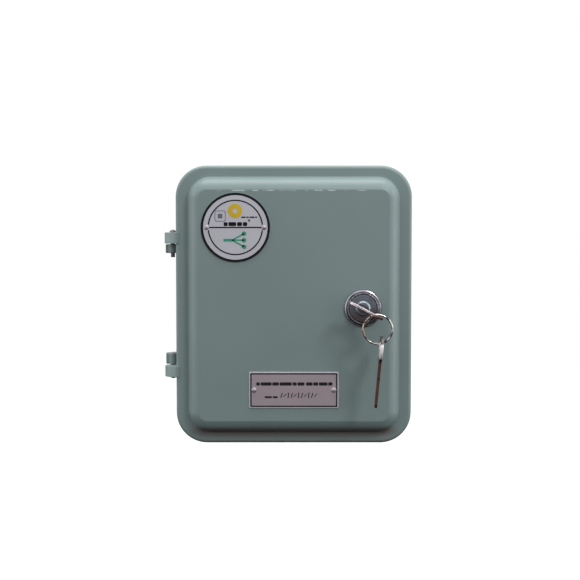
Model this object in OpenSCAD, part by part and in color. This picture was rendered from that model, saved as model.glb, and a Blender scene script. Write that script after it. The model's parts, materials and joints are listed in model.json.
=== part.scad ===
// Fiber termination box: a cast wall box with a hinged door, a cam lock with its keys,
// a shelf of SC adapters and a splice tray.
// X is to the right, Y points into the wall, Z is up. The wall face is the plane Y = 0.

/* [Case] */
// Width of the door and of the box rim
case_w = 144.2; // [142:0.1:150]
// Height of the door and of the box rim
case_h = 170; // [168:1:180]
// Corner radius of the door
case_r = 19; // [17:0.5:21]
// Depth of the box from the wall to the parting plane
box_depth = 50; // [50:1:56]
// Depth of the door's skirt, from the parting plane to its flange
skirt_depth = 10; // [10:0.5:12]
// How far the panel stands out of the door's flange
panel_raise = 10; // [9:0.5:12]
// Width of the door's flat flange at the top and bottom
flange_w = 7.4; // [7:0.2:9]
// Width of the flange at the sides
flange_side_w = 8.1; // [7:0.1:9]
// Thickness of the cast walls
wall = 2.5; // [2:0.25:2.75]

/* [Hinges] */
// Distance of the hinge axis outside the door's edge
hinge_out = 2.75; // [2.75:0.05:3.2]
// Reach of the lugs outside the hinge axis
lug_out = 4.6; // [4:0.1:4.6]
// Radius of the hinge knuckles
knuckle_r = 2.45; // [2.3:0.05:2.45]
// Radius of the hinge pins
pin_r = 1.3; // [1.1:0.1:1.3]
// Height of the middle of the door's lugs above the centre
door_lug_z = 41; // [38:0.2:44]

/* [Lock] */
// Distance of the lock to the right of the centre
lock_x = 41.5; // [38:0.5:42]
// Height of the lock above the centre
lock_z = -1.3; // [-5:0.1:5]
// Radius of the lock's bezel
bezel_r = 11.2; // [10.8:0.1:12]
// Angle by which the key's line falls to the right
key_fall = 28; // [26:1:30]
// Width of the key's bow
bow_w = 22.5; // [21:0.5:23]

/* [Plates] */
// Diameter of the round plate
round_plate_d = 41.5; // [38:0.5:42]
// Width of the name plate
name_plate_w = 54; // [50:0.5:58]
// Height of the name plate
name_plate_h = 22; // [20:0.5:24]

/* [Inside] */
// Number of SC adapters on the shelf
adapter_count = 4; // [4:1:4]
// Distance between the adapters
adapter_pitch = 16; // [14:0.5:18]
// Distance between the cable grommets
grommet_pitch = 30; // [26:1:32]
// Radius of the hole in a cable grommet
cable_r = 4; // [3:0.25:4.5]
// Width of the splice tray
tray_w = 84; // [80:1:86]
// Height of the splice tray
tray_h = 62; // [60:1:62]

/* [Hidden] */
$fn = 64;

// gap between pieces that face each other without touching
gap = 0.3;
// overlap that joins two parts of one casting
bite = 1;
// extra length of a cut past the face it opens
past = 1;

// case planes, along Y
parting_y = -box_depth;
skirt_back_y = parting_y - gap;
flange_y = parting_y - skirt_depth;
panel_y = flange_y - panel_raise;
panel_inner_y = panel_y + wall;

// box
rim_over = 2.25;
rim_t = 4;
box_w = case_w - 2 * rim_over;
box_h = case_h - 2 * rim_over;
box_r = case_r - rim_over;
hollow_w = box_w - 2 * wall;
hollow_h = box_h - 2 * wall;
hollow_r = box_r - wall;
tongue_t = 1.6;
tongue_l = 3.7;

// door
flange_edge_r = 2.2;
panel_w = case_w - 2 * flange_side_w;
panel_h = case_h - 2 * flange_w;
panel_r = 13;
panel_edge_r = 7.5;
door_hollow_w = case_w - 2 * wall;
door_hollow_h = case_h - 2 * wall;
door_hollow_r = case_r - wall;
door_hollow_d = skirt_depth - wall;
gasket_t = 3.5;
gasket_w = 4;
gasket_side_gap = 0.2;

// hinges
hinge_x = -case_w / 2 - hinge_out;
hinge_y = parting_y;
door_lug_h = 6.8;
box_lug_upper_h = 5.6;
box_lug_lower_h = 7;
lug_gap = 0.3;
box_lug_top = door_lug_z - door_lug_h / 2 - lug_gap;
lug_proud = 0.4;
// front of a door lug: distances from its outer side, and depths behind its highest face
lug_front = [[0, 6], [2.3, 2.6], [6.5, 0]];
lug_back = 1;
lug_bevel = 2.5;
lug_foot = 7;
pin_play = 0.05;
pin_head_r = 2.3;
pin_head_h = 1.5;
pin_upper_tail = 2.6;
pin_lower_tail = 0.2;

// lock, measured along the lock's axis from the panel's front face
barrel_r = 9;
barrel_l = 25;
bezel_h = 2.8;
bezel_edge = 0.8;
plug_r = 6;
plug_play = 0.05;
face_r = 8.4;
face_play = 0.1;
face_floor = 0.6;
face_edge = 0.6;
face_lift = 0.2;
face_h = 2.1;
boss_r = 4.2;
boss_h = 3;
keyway_w = 7;
keyway_t = 2;
keyway_l = 18;
cam_gap = 0.5;
cam_t = 2;
cam_reach = 23;
cam_w = 10;
cam_square = 6;
cam_turned = 62;
cam_end_r = 2;
cam_end_l = 8;
cam_hub_r = 6;
cam_play = 0.1;
cam_screw_r = 1.4;
cam_screw_l = 4;
cam_screw_head_r = 4.4;
cam_screw_head_h = 2;
cam_thread_r = 1.5;
cam_thread_l = 6;
nut_t = 4;
nut_r = 13.8;
washer_t = 0.6;
washer_r = 12.6;
strike_reach = 7;
strike_h = 18;
strike_t = 3;

// keys, measured along the key from the tip of its blade
key_t = 1.5;
tip_w = 3;
tip_l = 2;
notch_first = 4;
notch_pitch = 3;
notch_r = 0.7;
notch_step = 0.3;
blade_w = 6.4;
blade_l = 17.5;
bow_l = 14;
bow_r = 6;
neck_l = 10;
neck_w = 8;
bow_slot_l = 17.4;
bow_slot_h = 5.4;
bow_slot_v = 36.2;
key_stand_off = 0.3;
ring_r = 8.45;
wire_r = 0.6;
ring_dx = 6.95;
ring_dz = -10.9;
ring_y = panel_y - boss_h - key_stand_off + blade_l - bow_slot_v;
hang_gap = 1;
spare_lean = 5.2;
spare_turn = -3;
spare_dx = 2.4;

// plates
plate_t = 0.5;
round_plate_x = -35;
round_plate_z = 47.1;
round_rivet_out = 17.25;
round_rivet_r = 1.5;
name_plate_z = -50.7;
name_rivet_out = 24;
name_rivet_r = 1.65;
rivet_shank_r = 1;
rivet_play = 0.1;
rivet_l = 4;
rivet_rise = 0.55;

// wall fixing
wall_hole_x = 50;
wall_hole_z = 60;
wall_hole_r = 2.5;

// screws
screw_hole_r = 1.3;
screw_r = 1.2;
screw_head_r = 2.8;
screw_head_h = 2;
screw_play = 0.3;
cross_w = 0.6;
bracket_screw_l = 5.5;
tray_screw_l = 8;
adapter_screw_l = 5;
adapter_screw_head_h = 1.2;

// shelf with the adapters
shelf_z = -30;
sheet_t = 1.5;
shelf_w = 72;
shelf_foot_y = -7;
shelf_front_y = -38;
shelf_foot_h = 16;
shelf_lip_h = 6;
bracket_post_x = 28;
bracket_post_z = -38;
bracket_post_r = 4;
adapter_y = -23.5;
adapter_w = 9.3;
adapter_d = 13;
adapter_l = 28.5;
adapter_flange_d = 22;
adapter_flange_t = 2.2;
adapter_screw_out = 9;
adapter_hole_r = 1.1;
adapter_screw_r = 0.9;
adapter_screw_head_r = 1.8;
adapter_play = 0.4;
port_w = 7.4;
port_d = 9.6;
port_l = 12.5;
sleeve_r = 2.2;
ferrule_r = 1.26;
cap_w = 8.8;
cap_d = 12.2;
cap_h = 4;
cap_plug_l = 8;
cap_play = 0.3;
cap_grip_r = 1.2;
cap_floor = 2;

// splice tray
tray_y = -13;
tray_wall = 1.5;
tray_d = 10;
tray_z = 41;
tray_r = 5;
tray_post_x = 36;
tray_post_dz = 25;
tray_post_r = 3.5;
drum_r = 12;
drum_t = 1.2;
drum_dz = 13;
drum_d = 7;
guide_r = 4;
guide_x = 26;
tab_w = 6;
tab_reach = 4;
tab_t = 1.2;
tab_root = 0.2;
tab_out = 18;
fibre_gate_w = 8;
fibre_gate_x = 24;
holder_dz = -14;
holder_w = 30;
comb_w = 4;
comb_out = 10;
splice_count = 4;
splice_pitch = 4.6;
splice_r = 1.3;
splice_l = 40;
comb_h = 4.5;
comb_mouth = 2.2;
holder_t = 1.2;
splice_play = 0.15;
splice_lift = 0.4;
cover_t = 1.2;
cover_notch_r = 6;
gate_sill = 2;

// cable clamp
clamp_w = 84;
clamp_h = 10;
clamp_z = -67;
clamp_post_x = 15;
clamp_post_r = 4.5;
clamp_back_y = -8;
clamp_front_y = -31;
cable_y = -25;
clamp_split = 0.4;
clamp_screw_r = 1.6;
clamp_hole_r = 1.8;
clamp_head_r = 3.4;
clamp_screw_l = 28;
cable_play = 0.2;

// plate with the grommets, on the inside of the bottom wall
gland_w = 94;
gland_d = 30;
gland_t = 2;
gland_r = 4;
gland_slot_w = 81;
gland_slot_d = 23;
gland_screw_x = 44;
gland_screw_l = 4;
grommet_neck_r = 6.5;
grommet_flange_r = 9;
grommet_flange_t = 1.6;

// earthing point
earth_x = -56;
earth_z = -8;
earth_r = 2.4;
earth_boss_r = 5.5;
earth_boss_y = -6;
earth_end_y = -21;
earth_nut_r = 4.6;
earth_nut_t = 3.6;
earth_washer_r = 5;
earth_washer_t = 0.8;

// ---- helpers ----

// rounded rectangle in the plane
module round_rect(w, h, r) {
  square([w - 2 * r, h], center = true);
  square([w, h - 2 * r], center = true);
  for (sx = [-1, 1], sy = [-1, 1])
    translate([sx * (w / 2 - r), sy * (h / 2 - r)]) circle(r);
}

// stands a shape drawn flat upright, with its top towards the front, on the plane Y = y
module facing(y) {
  translate([0, y, 0]) rotate([90, 0, 0]) children();
}

// upright slab with the outline of its children, from y_back to y_front
module slab(y_back, y_front) {
  facing(y_back) linear_extrude(y_back - y_front) children();
}

// upright round post
module post(x, z, r, y_back, y_front) {
  translate([x, y_back, z]) rotate([90, 0, 0]) cylinder(h = y_back - y_front, r = r);
}

// half of the section across a block's rounded top edge
module edge_section(r, edge, raise) {
  intersection() {
    square([r, raise]);
    union() {
      square([r, raise - edge]);
      square([r - edge, raise]);
      translate([r - edge, raise - edge]) circle(edge);
    }
  }
}

// rounded block lying flat, with a rounded top edge
module cast_block(w, h, r, edge, raise) {
  translate([-w / 2 + r, -h / 2 + r, 0]) cube([w - 2 * r, h - 2 * r, raise]);
  for (side = [0, 1]) rotate([0, 0, side * 180]) {
    translate([w / 2 - r, 0, 0]) rotate([90, 0, 0])
      linear_extrude(h - 2 * r, center = true) edge_section(r, edge, raise);
    translate([0, h / 2 - r, 0]) rotate([90, 0, 90])
      linear_extrude(w - 2 * r, center = true) edge_section(r, edge, raise);
    translate([w / 2 - r, h / 2 - r, 0])
      rotate_extrude(angle = 90) edge_section(r, edge, raise);
    translate([-w / 2 + r, h / 2 - r, 0]) rotate([0, 0, 90])
      rotate_extrude(angle = 90) edge_section(r, edge, raise);
  }
}

// low dome on the plane Z = 0
module dome(r, h) {
  ball_r = (r * r + h * h) / (2 * h);
  rotate_extrude() intersection() {
    translate([0, h - ball_r]) circle(ball_r);
    square([r, h]);
  }
}

// pan-head screw pointing into the wall, with its head on the plane Y = y
module wall_screw(x, z, y, r, length, head_r) {
  translate([x, y, z]) rotate([90, 0, 0]) difference() {
    union() {
      dome(head_r, screw_head_h);
      translate([0, 0, -length]) cylinder(h = length + bite, r = r);
    }
    for (a = [0, 90]) rotate([0, 0, a]) translate([0, 0, screw_head_h])
      cube([1.2 * head_r, cross_w, 1.2 * screw_head_h], center = true);
  }
}

// children at each lug height, the lower one mirrored
module upper_and_lower() {
  children();
  mirror([0, 0, 1]) children();
}

// bar along Z with the outline of its children, between two heights
module rise(z_low, z_high) {
  translate([0, 0, z_low]) linear_extrude(z_high - z_low) children();
}

// ---- case ----

module box_lug_outline() {
  translate([hinge_x, hinge_y]) circle(knuckle_r);
  polygon([
    [hinge_x - lug_out, hinge_y],
    [hinge_x - lug_out, hinge_y + lug_bevel],
    [hinge_x, hinge_y + lug_foot],
    [-box_w / 2 + bite, hinge_y + lug_foot],
    [-box_w / 2 + bite, hinge_y]
  ]);
}

module box_lug(h) {
  rise(box_lug_top - h, box_lug_top) box_lug_outline();
}

module wall_holes() {
  for (sx = [-1, 1], sz = [-1, 1])
    post(sx * wall_hole_x, sz * wall_hole_z, wall_hole_r, past, -wall - past);
}

module box_posts() {
  for (sx = [-1, 1], sz = [-1, 1])
    post(sx * tray_post_x, tray_z + sz * tray_post_dz, tray_post_r, -wall + bite, tray_y);
  for (sx = [-1, 1]) {
    post(sx * bracket_post_x, bracket_post_z, bracket_post_r, -wall + bite, shelf_foot_y);
    post(sx * clamp_post_x, clamp_z, clamp_post_r, -wall + bite, clamp_back_y);
  }
  post(earth_x, earth_z, earth_boss_r, -wall + bite, earth_boss_y);
}

module box_post_holes() {
  for (sx = [-1, 1], sz = [-1, 1])
    post(sx * tray_post_x, tray_z + sz * tray_post_dz, screw_hole_r, -wall - 1, tray_y - past);
  for (sx = [-1, 1]) {
    post(sx * bracket_post_x, bracket_post_z, screw_hole_r, -1, shelf_foot_y - past);
    post(sx * clamp_post_x, clamp_z, clamp_hole_r, -1, clamp_back_y - past);
  }
  post(earth_x, earth_z, earth_r, -1, earth_boss_y - past);
}

// ledge inside the right wall that the cam turns behind
module strike_ledge() {
  cam_front_y = panel_y + barrel_l + cam_gap;
  translate([hollow_w / 2 - strike_reach, cam_front_y - cam_gap - strike_t, lock_z - strike_h / 2])
    cube([strike_reach + bite, strike_t, strike_h]);
}

// slot in the bottom wall for the grommets, and the holes for their plate's screws
module gland_slot() {
  translate([0, cable_y, -box_h / 2 - past]) linear_extrude(wall + 2 * past) {
    round_rect(gland_slot_w, gland_slot_d, gland_r);
    for (s = [-1, 1]) translate([s * gland_screw_x, 0]) circle(screw_hole_r);
  }
}

module back_box() {
  color("darkseagreen") difference() {
    union() {
      difference() {
        union() {
          slab(0, parting_y) round_rect(box_w, box_h, box_r);
          slab(parting_y + rim_t, parting_y) round_rect(case_w, case_h, case_r);
          slab(parting_y + bite, parting_y - tongue_l)
            round_rect(hollow_w + 2 * tongue_t, hollow_h + 2 * tongue_t, hollow_r + tongue_t);
          box_lug(box_lug_upper_h);
          mirror([0, 0, 1]) box_lug(box_lug_lower_h);
        }
        slab(-wall, parting_y - tongue_l - past) round_rect(hollow_w, hollow_h, hollow_r);
      }
      box_posts();
      strike_ledge();
    }
    wall_holes();
    box_post_holes();
    gland_slot();
    translate([hinge_x, hinge_y, 0]) cylinder(h = case_h, r = pin_r, center = true);
  }
}

// pin through a door lug and a box lug of height lug_h, with its tail below
module hinge_pin(lug_h, tail_l) {
  top = door_lug_z + door_lug_h / 2;
  tail = box_lug_top - lug_h - tail_l;
  translate([hinge_x, hinge_y, 0]) {
    translate([0, 0, tail]) cylinder(h = top - tail + gap + pin_head_h / 2, r = pin_r);
    translate([0, 0, top + gap]) dome(pin_head_r, pin_head_h);
  }
}

module hinge_pin_upper() {
  color("saddlebrown") hinge_pin(box_lug_upper_h, pin_upper_tail);
}

module hinge_pin_lower() {
  color("saddlebrown") mirror([0, 0, 1]) hinge_pin(box_lug_lower_h, pin_lower_tail);
}

// ---- door ----

module door_lug_outline() {
  inner_x = -case_w / 2 + wall - pin_play;
  top_y = flange_y - lug_proud;
  translate([hinge_x, hinge_y]) circle(knuckle_r);
  polygon([
    [hinge_x, hinge_y],
    [hinge_x - knuckle_r, hinge_y],
    [hinge_x - lug_out, hinge_y - lug_back],
    for (p = lug_front) [hinge_x - lug_out + p[0], top_y + p[1]],
    [inner_x, top_y],
    [inner_x, skirt_back_y],
    [hinge_x, skirt_back_y]
  ]);
}

module rivet_holes() {
  for (s = [-1, 1]) {
    post(round_plate_x + s * round_rivet_out, round_plate_z, rivet_shank_r + rivet_play,
      panel_inner_y + past, panel_y - past);
    post(s * name_rivet_out, name_plate_z, rivet_shank_r + rivet_play,
      panel_inner_y + past, panel_y - past);
  }
}

module door_shell() {
  color("darkseagreen") difference() {
    union() {
      facing(skirt_back_y)
        cast_block(case_w, case_h, case_r, flange_edge_r, skirt_back_y - flange_y);
      facing(flange_y + bite)
        cast_block(panel_w, panel_h, panel_r, panel_edge_r, panel_raise + bite);
      upper_and_lower() rise(door_lug_z - door_lug_h / 2, door_lug_z + door_lug_h / 2)
        door_lug_outline();
    }
    slab(skirt_back_y + past, skirt_back_y - door_hollow_d)
      round_rect(door_hollow_w, door_hollow_h, door_hollow_r);
    slab(parting_y, panel_inner_y)
      round_rect(panel_w - 2 * wall, panel_h - 2 * wall, panel_r - wall);
    post(lock_x, lock_z, barrel_r + rivet_play, panel_inner_y + past, panel_y - past);
    rivet_holes();
    translate([hinge_x, hinge_y, 0])
      cylinder(h = case_h, r = pin_r + pin_play, center = true);
  }
}

module door_gasket() {
  seat_y = skirt_back_y - door_hollow_d;
  out_w = door_hollow_w - 2 * gasket_side_gap;
  out_h = door_hollow_h - 2 * gasket_side_gap;
  out_r = door_hollow_r - gasket_side_gap;
  color("dimgray") slab(seat_y + gasket_t, seat_y) difference() {
    round_rect(out_w, out_h, out_r);
    round_rect(out_w - 2 * gasket_w, out_h - 2 * gasket_w, out_r - gasket_w);
  }
}

// ---- plates ----

module round_plate() {
  color("lightgray") slab(panel_y, panel_y - plate_t) difference() {
    translate([round_plate_x, round_plate_z]) circle(round_plate_d / 2);
    for (s = [-1, 1]) translate([round_plate_x + s * round_rivet_out, round_plate_z])
      circle(rivet_shank_r + rivet_play);
  }
}

module name_plate() {
  color("rosybrown") slab(panel_y, panel_y - plate_t) difference() {
    translate([0, name_plate_z]) round_rect(name_plate_w, name_plate_h, 0.8);
    for (s = [-1, 1]) translate([s * name_rivet_out, name_plate_z])
      circle(rivet_shank_r + rivet_play);
  }
}

module rivet(x, z, r) {
  post(x, z, rivet_shank_r, panel_y + rivet_l, panel_y - plate_t - rivet_play);
  translate([x, 0, z]) facing(panel_y - plate_t) dome(r, r * rivet_rise);
}

module round_plate_rivets() {
  color("silver") for (s = [-1, 1])
    rivet(round_plate_x + s * round_rivet_out, round_plate_z, round_rivet_r);
}

module name_plate_rivets() {
  color("silver") for (s = [-1, 1]) rivet(s * name_rivet_out, name_plate_z, name_rivet_r);
}

// ---- lock ----

// the lock's own frame: Z along its axis out of the panel, X along the key's line
module at_lock() {
  translate([lock_x, panel_y, lock_z]) rotate([90, 0, 0]) rotate([0, 0, -key_fall]) children();
}

module lock_barrel() {
  color("silver") at_lock() rotate_extrude() polygon([
    [plug_r + plug_play, -barrel_l],
    [barrel_r, -barrel_l],
    [barrel_r, 0],
    [bezel_r, 0],
    [bezel_r, bezel_h - bezel_edge],
    [bezel_r - bezel_edge, bezel_h],
    [face_r + face_play + face_edge, bezel_h],
    [face_r + face_play, bezel_h - face_edge],
    [face_r + face_play, face_floor],
    [plug_r + plug_play, face_floor]
  ]);
}

module lock_washer() {
  color("silver") translate([lock_x, 0, lock_z]) slab(panel_inner_y + washer_t, panel_inner_y)
    difference() {
      circle(washer_r);
      circle(barrel_r + rivet_play);
    }
}

module lock_nut() {
  back_y = panel_inner_y + washer_t + nut_t;
  color("silver") translate([lock_x, 0, lock_z]) difference() {
    slab(back_y, back_y - nut_t) circle(nut_r, $fn = 6);
    slab(back_y + past, back_y - nut_t - past) circle(barrel_r + plug_play);
  }
}

module lock_plug() {
  cam_back = barrel_l + cam_gap + cam_t;
  color("darkgray") at_lock() difference() {
    union() {
      translate([0, 0, -barrel_l]) cylinder(h = barrel_l + face_h, r = plug_r);
      translate([0, 0, face_floor + face_lift])
        cylinder(h = face_h - face_floor - face_lift, r = face_r);
      cylinder(h = boss_h, r = boss_r);
      translate([-cam_square / 2, -cam_square / 2, -cam_back])
        cube([cam_square, cam_square, cam_t + cam_gap + bite]);
    }
    translate([-keyway_w / 2, -keyway_t / 2, boss_h - keyway_l])
      cube([keyway_w, keyway_t, keyway_l + past]);
    translate([0, 0, -cam_back - past]) cylinder(h = cam_thread_l + past, r = cam_thread_r);
  }
}

module lock_cam() {
  color("gainsboro") at_lock() rotate([0, 0, key_fall + cam_turned])
    translate([0, 0, -barrel_l - cam_gap - cam_t]) linear_extrude(cam_t) difference() {
      union() {
        circle(cam_hub_r);
        translate([0, -cam_w / 2]) square([cam_reach - cam_end_r, cam_w]);
        translate([cam_reach - cam_end_l / 2, 0]) round_rect(cam_end_l, cam_w, cam_end_r);
      }
      rotate(-key_fall - cam_turned) square(cam_square + cam_play, center = true);
    }
}

module cam_screw() {
  head = -barrel_l - cam_gap - cam_t;
  color("silver") at_lock() translate([0, 0, head]) {
    mirror([0, 0, 1]) cylinder(h = cam_screw_head_h, r = cam_screw_head_r, $fn = 6);
    cylinder(h = cam_screw_l, r = cam_screw_r);
  }
}

// ---- keys ----

// outline of a key, with the tip of its blade at the origin
module key_outline() {
  difference() {
    union() {
      polygon([
        [-tip_w / 2, 0], [tip_w / 2, 0],
        [blade_w / 2, tip_l], [blade_w / 2, blade_l + bite],
        [-blade_w / 2, blade_l + bite], [-blade_w / 2, tip_l]
      ]);
      translate([-neck_w / 2, blade_l]) square([neck_w, neck_l + bite]);
      translate([0, blade_l + neck_l + bow_l / 2]) round_rect(bow_w, bow_l, bow_r);
    }
    translate([0, bow_slot_v]) round_rect(bow_slot_l, bow_slot_h, bow_slot_h / 2 - 0.01);
    for (i = [0:3]) translate([blade_w / 2, notch_first + notch_pitch * i])
      circle(notch_r + notch_step * (i % 2), $fn = 4);
  }
}

module key_solid() {
  linear_extrude(key_t, center = true) key_outline();
}

module door_key() {
  color("silver") at_lock() translate([0, 0, boss_h + key_stand_off - blade_l])
    rotate([90, 0, 0]) key_solid();
}

module key_ring() {
  color("silver") translate([lock_x + ring_dx, ring_y, lock_z + ring_dz]) rotate([90, 0, 0])
    rotate_extrude() translate([ring_r, 0]) {
      for (s = [-1, 1]) translate([0, s * wire_r]) circle(wire_r);
      square([2 * wire_r, 2 * wire_r], center = true);
    }
}

module spare_key() {
  wire_z = lock_z + ring_dz - ring_r;
  slot_top = bow_slot_v + bow_slot_h / 2;
  color("peru") translate([lock_x + ring_dx + spare_dx, ring_y, wire_z])
    rotate([0, spare_lean, spare_turn])
    translate([0, 0, wire_r + hang_gap - slot_top]) rotate([90, 0, 90]) key_solid();
}

// ---- adapters on their shelf ----

function adapter_x(i) = (i - (adapter_count + 1) / 2) * adapter_pitch;

module adapter_bracket() {
  foot_y = shelf_foot_y - sheet_t;
  color("gainsboro") difference() {
    translate([-shelf_w / 2, shelf_front_y, 0]) union() {
      translate([0, 0, shelf_z - sheet_t / 2])
        cube([shelf_w, shelf_foot_y - shelf_front_y, sheet_t]);
      translate([0, foot_y - shelf_front_y, shelf_z - shelf_foot_h])
        cube([shelf_w, sheet_t, shelf_foot_h]);
      translate([0, 0, shelf_z]) cube([shelf_w, sheet_t, shelf_lip_h]);
    }
    for (i = [1:adapter_count]) {
      translate([adapter_x(i), adapter_y, shelf_z])
        cube([adapter_w + adapter_play, adapter_d + adapter_play, 2 * sheet_t], center = true);
      for (s = [-1, 1])
        translate([adapter_x(i), adapter_y + s * adapter_screw_out, shelf_z - sheet_t])
          cylinder(h = 2 * sheet_t, r = adapter_hole_r);
    }
    for (s = [-1, 1])
      post(s * bracket_post_x, bracket_post_z, screw_hole_r + screw_play,
        shelf_foot_y + past, foot_y - past);
  }
}

module bracket_screws() {
  color("silver") for (s = [-1, 1])
    wall_screw(s * bracket_post_x, bracket_post_z, shelf_foot_y - sheet_t, screw_r,
      bracket_screw_l, screw_head_r);
}

module adapter_screws() {
  top = shelf_z + sheet_t / 2 + adapter_flange_t;
  color("silver") for (i = [1:adapter_count], s = [-1, 1])
    translate([adapter_x(i), adapter_y + s * adapter_screw_out, top]) {
      dome(adapter_screw_head_r, adapter_screw_head_h);
      translate([0, 0, -adapter_screw_l])
        cylinder(h = adapter_screw_l + adapter_screw_head_h / 2, r = adapter_screw_r);
    }
}

// SC adapter through the shelf, with a port at each end
module adapter(i) {
  low = shelf_z - adapter_l / 2;
  color("royalblue") translate([adapter_x(i), adapter_y, 0]) difference() {
    union() {
      difference() {
        translate([0, 0, shelf_z]) cube([adapter_w, adapter_d, adapter_l], center = true);
        for (s = [-1, 1]) translate([0, 0, shelf_z + s * (adapter_l - port_l + past) / 2])
          cube([port_w, port_d, port_l + past], center = true);
      }
      translate([-adapter_w / 2, -adapter_flange_d / 2, shelf_z + sheet_t / 2])
        difference() {
          cube([adapter_w, adapter_flange_d, adapter_flange_t]);
          translate([(adapter_w - port_w) / 2, (adapter_flange_d - port_d) / 2, adapter_flange_t])
            cube([port_w, port_d, past]);
        }
      translate([0, 0, low + 4]) cylinder(h = adapter_l - 8, r = sleeve_r);
    }
    translate([0, 0, low]) cylinder(h = adapter_l, r = ferrule_r);
    for (s = [-1, 1]) translate([0, s * adapter_screw_out, shelf_z])
      cylinder(h = adapter_screw_l, r = adapter_hole_r);
  }
}

// dust cap for a lower port, with its head below the adapter
module outlet_cap(i) {
  end_z = shelf_z - adapter_l / 2;
  color("dodgerblue") translate([adapter_x(i), adapter_y, end_z]) difference() {
    union() {
      translate([-cap_w / 2, -cap_d / 2, -cap_play - cap_h]) cube([cap_w, cap_d, cap_h]);
      translate([0, 0, (cap_plug_l - bite) / 2 - cap_play])
        cube([port_w - 2 * cap_play, port_d - 2 * cap_play, cap_plug_l + bite], center = true);
    }
    translate([0, 0, cap_floor]) cylinder(h = cap_plug_l, r = sleeve_r + cap_play);
    for (s = [-1, 1]) translate([0, s * cap_d / 2, -cap_play - cap_h / 2])
      rotate([0, 90, 0]) cylinder(h = cap_w + past, r = cap_grip_r, center = true);
  }
}

module inner_cap(i) {
  translate([0, 0, 2 * shelf_z]) mirror([0, 0, 1]) outlet_cap(i);
}

// ---- splice tray ----

module tray_outline(inset) {
  translate([0, tray_z]) round_rect(tray_w - 2 * inset, tray_h - 2 * inset, tray_r - inset);
}

module tray_tabs() {
  front = tray_y - tray_d;
  side_x = tray_w / 2 - tray_wall - tab_reach / 2 + tab_root;
  top_z = tray_h / 2 - tray_wall - tab_reach / 2 + tab_root;
  for (s = [-1, 1], dz = [-tab_out, tab_out])
    translate([s * side_x, front + tab_t / 2, tray_z + dz])
      cube([tab_reach, tab_t, tab_w], center = true);
  for (dx = [-tab_out, tab_out]) translate([dx, front + tab_t / 2, tray_z + top_z])
    cube([tab_w, tab_t, tab_reach], center = true);
}

module fibre_guides() {
  floor_y = tray_y - tray_wall;
  slab(floor_y + tray_wall / 2, floor_y - drum_d) translate([0, tray_z + drum_dz]) difference() {
    circle(drum_r);
    circle(drum_r - drum_t);
  }
  for (s = [-1, 1]) slab(floor_y + tray_wall / 2, floor_y - drum_d)
    translate([s * guide_x, tray_z + drum_dz]) difference() {
      circle(guide_r);
      circle(guide_r - drum_t);
    }
}

module splice_tray() {
  color("whitesmoke") difference() {
    union() {
      slab(tray_y, tray_y - tray_wall) tray_outline(0);
      slab(tray_y, tray_y - tray_d) difference() {
        tray_outline(0);
        tray_outline(tray_wall);
      }
      tray_tabs();
      fibre_guides();
    }
    for (sx = [-1, 1], sz = [-1, 1])
      post(sx * tray_post_x, tray_z + sz * tray_post_dz, screw_hole_r + screw_play,
        tray_y + past, tray_y - tray_wall - past);
    for (s = [-1, 1])
      translate([s * fibre_gate_x - fibre_gate_w / 2, tray_y - tray_d - past,
        tray_z - tray_h / 2 - past])
        cube([fibre_gate_w, tray_d - tray_wall - gate_sill + past, tray_wall + 2 * past]);
  }
}

module tray_screws() {
  color("silver") for (sx = [-1, 1], sz = [-1, 1])
    wall_screw(sx * tray_post_x, tray_z + sz * tray_post_dz, tray_y - tray_wall, screw_r,
      tray_screw_l, screw_head_r);
}

function splice_z(i) = tray_z + holder_dz + (i - (splice_count + 1) / 2) * splice_pitch;

module splice_holder() {
  floor_y = tray_y - tray_wall;
  base_h = (splice_count + 0.6) * splice_pitch;
  splice_y = floor_y - holder_t - splice_r - splice_lift;
  color("white") difference() {
    union() {
      translate([0, 0, tray_z + holder_dz]) slab(floor_y, floor_y - holder_t)
        square([holder_w, base_h], center = true);
      for (s = [-1, 1]) translate([s * comb_out, 0, tray_z + holder_dz])
        slab(floor_y, floor_y - comb_h) square([comb_w, base_h], center = true);
    }
    for (i = [1:splice_count]) translate([0, splice_y, splice_z(i)]) {
      rotate([0, 90, 0])
        cylinder(h = holder_w + past, r = splice_r + splice_play, center = true);
      translate([-holder_w / 2, -comb_h, -comb_mouth / 2]) cube([holder_w, comb_h, comb_mouth]);
    }
  }
}

module splice_sleeves() {
  splice_y = tray_y - tray_wall - holder_t - splice_r - splice_lift;
  color("lightblue") for (i = [1:splice_count]) translate([0, splice_y, splice_z(i)])
    rotate([0, 90, 0]) cylinder(h = splice_l, r = splice_r, center = true);
}

module tray_cover() {
  back_y = tray_y - tray_d - gap;
  color("lightsteelblue") slab(back_y, back_y - cover_t) difference() {
    tray_outline(0);
    translate([0, tray_z + tray_h / 2]) circle(cover_notch_r);
  }
}

// ---- cable clamp ----

module clamp_block(y_back, y_front) {
  difference() {
    translate([-clamp_w / 2, y_front, clamp_z - clamp_h / 2])
      cube([clamp_w, y_back - y_front, clamp_h]);
    for (i = [-1:1]) translate([i * grommet_pitch, cable_y, clamp_z])
      cylinder(h = clamp_h + past, r = cable_r + cable_play, center = true);
    for (s = [-1, 1])
      post(s * clamp_post_x, clamp_z, clamp_hole_r, y_back + past, y_front - past);
  }
}

module clamp_base() {
  color("black") clamp_block(clamp_back_y, cable_y + clamp_split);
}

module clamp_bar() {
  color("black") clamp_block(cable_y - clamp_split, clamp_front_y);
}

module clamp_screws() {
  color("silver") for (s = [-1, 1])
    wall_screw(s * clamp_post_x, clamp_z, clamp_front_y, clamp_screw_r, clamp_screw_l,
      clamp_head_r);
}

// ---- cable entries ----

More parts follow.
